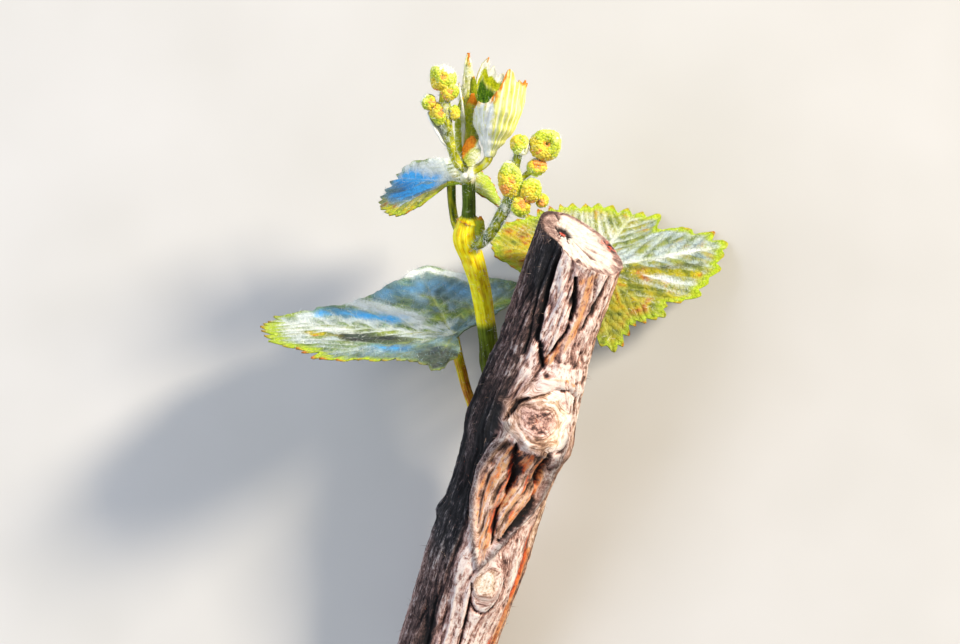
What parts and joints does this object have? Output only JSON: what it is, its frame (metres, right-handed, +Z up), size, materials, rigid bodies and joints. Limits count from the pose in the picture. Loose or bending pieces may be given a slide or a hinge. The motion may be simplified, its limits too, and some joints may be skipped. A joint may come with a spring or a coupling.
{
  "type": "cut grapevine spur with a young leafy shoot",
  "caption": "Pruned grapevine spur: a knotty stub of old wood with a green spring shoot, downy toothed leaves and clusters of unopened flower buds, lying as cut.",
  "frame": {"origin": "middle of the underside of the bounding box, on the surface that the spur lies on", "axes": "+Z up from that surface, +Y along the spur towards the shoot's tip, +X to the right as the front of the spur is seen from above"},
  "size_m": [0.0992, 0.1322, 0.0574],
  "materials": {
    "bark": "rough",
    "bud_scale": "rough",
    "green_stem": "satin",
    "leaf": "matt, downy",
    "downy_bud": "matt, downy"
  },
  "bodies": {
    "root": {"old_wood": "bark", "young_shoot": "green_stem", "bud_scales": "bud_scale", "shoot_tip": "downy_bud", "leaf_low_left": "leaf", "petiole_low_left": "green_stem", "leaf_low_right": "leaf", "petiole_low_right": "green_stem", "leaf_mid_left": "leaf", "petiole_mid_left": "green_stem", "leaf_top_right": "downy_bud", "petiole_top_right": "green_stem", "flower_cluster_mid": "downy_bud", "flower_cluster_top": "downy_bud", "stipule_centre": "green_stem", "stipule_right": "green_stem", "bract_left": "downy_bud"}
  },
  "joints": []
}
